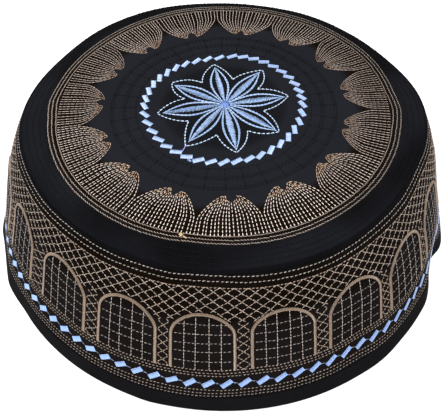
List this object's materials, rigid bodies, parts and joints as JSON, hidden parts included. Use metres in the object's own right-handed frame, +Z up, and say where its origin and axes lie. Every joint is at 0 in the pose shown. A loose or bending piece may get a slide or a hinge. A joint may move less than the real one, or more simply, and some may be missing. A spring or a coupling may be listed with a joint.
{
  "type": "prayer cap",
  "caption": "Round prayer cap with a flat quilted crown, a flared embroidered side band and a plain turned hem, open below for the head.",
  "frame": {"origin": "middle of the cap's outline, on the surface that the hem rests on", "axes": "+Z up through the middle of the crown, front of the cap towards -Y"},
  "size_m": [0.1914, 0.1896, 0.0632],
  "materials": {
    "crown_cloth": "matt black quilted cotton with tan and pale blue embroidery",
    "band_cloth": "matt black quilted cotton densely embroidered in tan thread",
    "hem_cloth": "matt black plain cotton"
  },
  "bodies": {
    "root": {"crown": "crown_cloth", "side_band": "band_cloth", "hem": "hem_cloth"}
  },
  "joints": []
}
